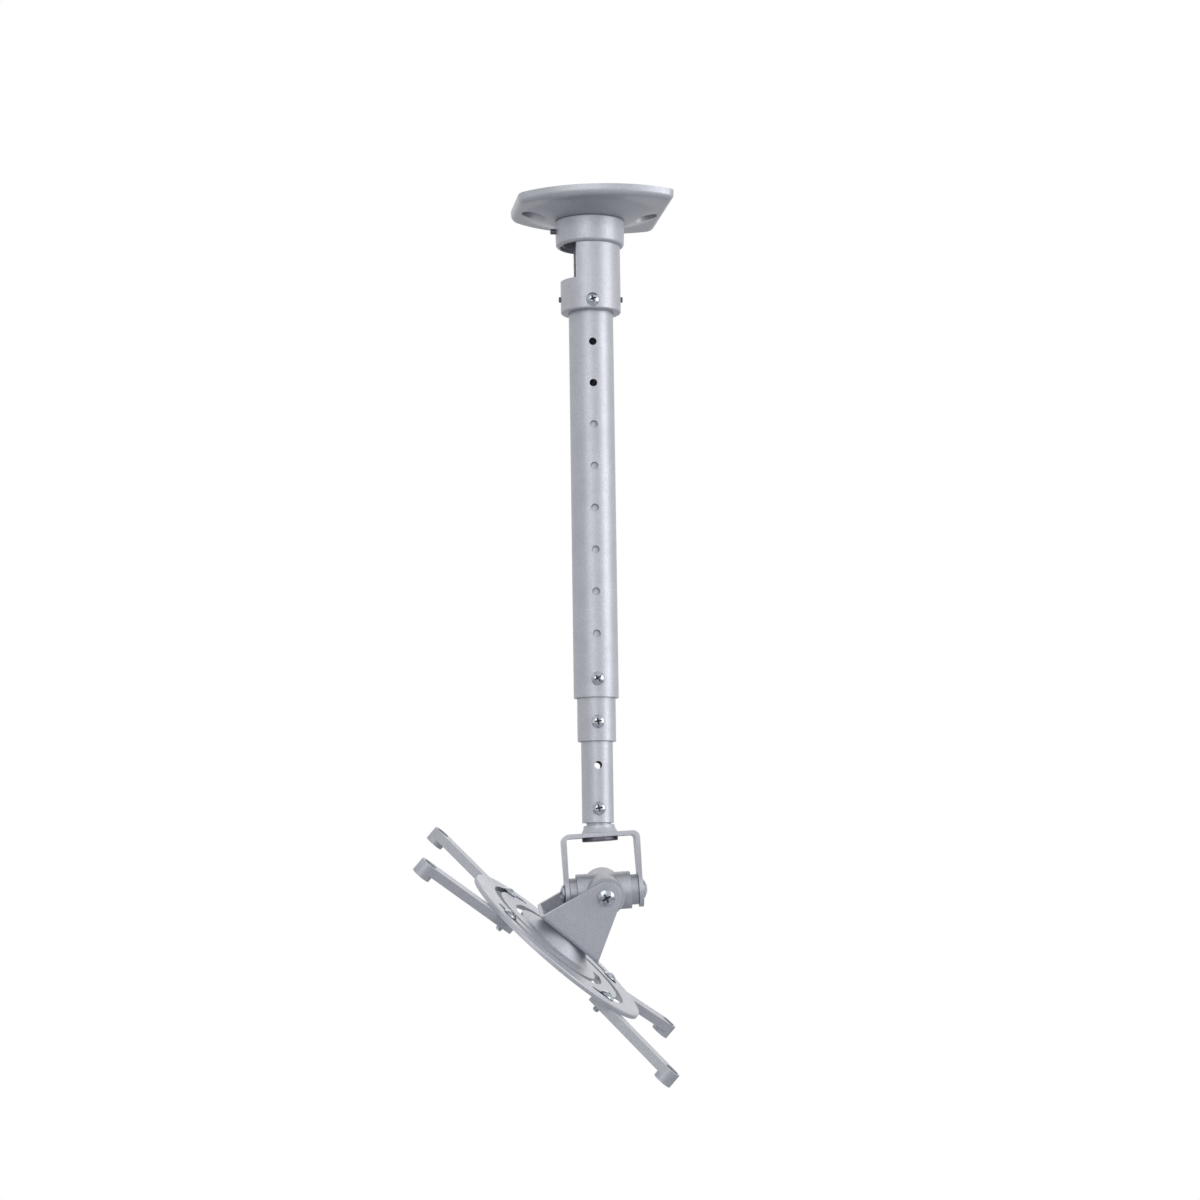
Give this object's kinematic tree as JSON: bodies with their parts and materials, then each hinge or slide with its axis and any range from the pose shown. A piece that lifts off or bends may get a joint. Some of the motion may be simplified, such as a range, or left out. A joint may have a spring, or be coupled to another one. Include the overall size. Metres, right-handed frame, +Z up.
{
  "type": "projector ceiling mount",
  "caption": "Ceiling mount for a projector: dished plate, telescopic pole, bail and cross block with tilt both ways, and a swirl-slotted disc with swinging arms.",
  "frame": {"origin": "middle of the ceiling plate's upper face, between its two screw slots", "axes": "+Z up into the ceiling, along the pole; X runs through the two screw slots, so the plate's straight sides face +X and -X; -Y is the picture's side"},
  "size_m": [0.2032, 0.1783, 0.6285],
  "materials": {
    "powder_coat": "fine-textured satin powder coat, silver grey",
    "cast_coat": "satin powder coat over a casting",
    "arm_coat": "satin powder coat over cast arms",
    "zinc": "bright zinc plate"
  },
  "bodies": {
    "ceiling": {"ceiling_plate": "powder_coat", "swivel_collar": "powder_coat", "collar_set_screw": "zinc"},
    "pole": {"pole_socket": "powder_coat", "socket_screws": "zinc", "outer_tube": "powder_coat", "outer_lock_screw": "zinc"},
    "middle": {"middle_tube": "powder_coat", "middle_lock_screw": "zinc"},
    "inner": {"inner_tube": "powder_coat", "foot_screw": "zinc", "swivel_plug": "powder_coat", "swivel_bolt": "powder_coat"},
    "bail": {"bail": "powder_coat"},
    "block": {"cross_block": "cast_coat", "side_bush_left": "cast_coat", "side_bush_right": "cast_coat", "side_screw_left": "zinc", "side_screw_right": "zinc", "tilt_screw_front": "zinc", "tilt_screw_rear": "zinc"},
    "bracket": {"tilt_bracket": "powder_coat", "centre_bolt": "zinc", "centre_washer": "zinc", "centre_nut": "zinc"},
    "disc": {"spider_disc": "powder_coat"},
    "carriage_1": {"arm_screw_1": "zinc", "arm_nut_1": "zinc"},
    "arm_1": {"arm_1": "arm_coat"},
    "carriage_2": {"arm_screw_2": "zinc", "arm_nut_2": "zinc"},
    "arm_2": {"arm_2": "arm_coat"},
    "carriage_3": {"arm_screw_3": "zinc", "arm_nut_3": "zinc"},
    "arm_3": {"arm_3": "arm_coat"},
    "carriage_4": {"arm_screw_4": "zinc", "arm_nut_4": "zinc"},
    "arm_4": {"arm_4": "arm_coat"}
  },
  "joints": [
    {"name": "pole_swivel", "type": "hinge", "parent": "ceiling", "child": "pole", "pos_m": [0, 0, 0], "axis": [0, 0, 1], "continuous": true},
    {"name": "middle_slide", "type": "slide", "parent": "pole", "child": "middle", "axis": [0, 0, 1], "range_m": [-0.15, 0]},
    {"name": "inner_slide", "type": "slide", "parent": "middle", "child": "inner", "axis": [0, 0, 1], "range_m": [-0.12, 0]},
    {"name": "bail_swivel", "type": "hinge", "parent": "inner", "child": "bail", "pos_m": [0, 0, -0.437], "axis": [-0.0564, 0.0039, 0.9984], "continuous": true},
    {"name": "block_tilt", "type": "hinge", "parent": "bail", "child": "block", "pos_m": [0.00328, -0.00023, -0.49511], "axis": [0.996, -0.0696, 0.0565], "range_deg": [-38.9, 11.1]},
    {"name": "bracket_tilt", "type": "hinge", "parent": "block", "child": "bracket", "pos_m": [0.00328, -0.00023, -0.49511], "axis": [0.0542, 0.9693, 0.2398], "range_deg": [-88.5, 1.5]},
    {"name": "disc_turn", "type": "hinge", "parent": "bracket", "child": "disc", "pos_m": [-0.02783, 0.01052, -0.53153], "axis": [0.6337, -0.219, 0.7419], "continuous": true},
    {"name": "carriage_1", "type": "hinge", "parent": "disc", "child": "carriage_1", "pos_m": [-0.03725, 0.00168, -0.52611], "axis": [-0.6337, 0.219, -0.7419], "range_deg": [-60, 14.4]},
    {"name": "arm_swing_1", "type": "hinge", "parent": "carriage_1", "child": "arm_1", "pos_m": [-0.06868, -0.0315, -0.5135], "axis": [0.6337, -0.219, 0.7419], "range_deg": [-75, 75]},
    {"name": "carriage_2", "type": "hinge", "parent": "disc", "child": "carriage_2", "pos_m": [-0.02246, 0.0001, -0.5392], "axis": [-0.6337, 0.219, -0.7419], "range_deg": [-60, 16.7]},
    {"name": "arm_swing_2", "type": "hinge", "parent": "carriage_2", "child": "arm_2", "pos_m": [-0.00153, -0.0291, -0.57014], "axis": [0.6337, -0.219, 0.7419], "range_deg": [-75, 75]},
    {"name": "carriage_3", "type": "hinge", "parent": "disc", "child": "carriage_3", "pos_m": [-0.01842, 0.01937, -0.53696], "axis": [-0.6337, 0.219, -0.7419], "range_deg": [-60, 6.1]},
    {"name": "arm_swing_3", "type": "hinge", "parent": "carriage_3", "child": "arm_3", "pos_m": [0.01168, 0.04912, -0.55834], "axis": [0.6337, -0.219, 0.7419], "range_deg": [-75, 75]},
    {"name": "carriage_4", "type": "hinge", "parent": "disc", "child": "carriage_4", "pos_m": [-0.03321, 0.02095, -0.52387], "axis": [-0.6337, 0.219, -0.7419], "range_deg": [-60, 20.1]},
    {"name": "arm_swing_4", "type": "hinge", "parent": "carriage_4", "child": "arm_4", "pos_m": [-0.05996, 0.04946, -0.49705], "axis": [0.6337, -0.219, 0.7419], "range_deg": [-75, 75]}
  ]
}
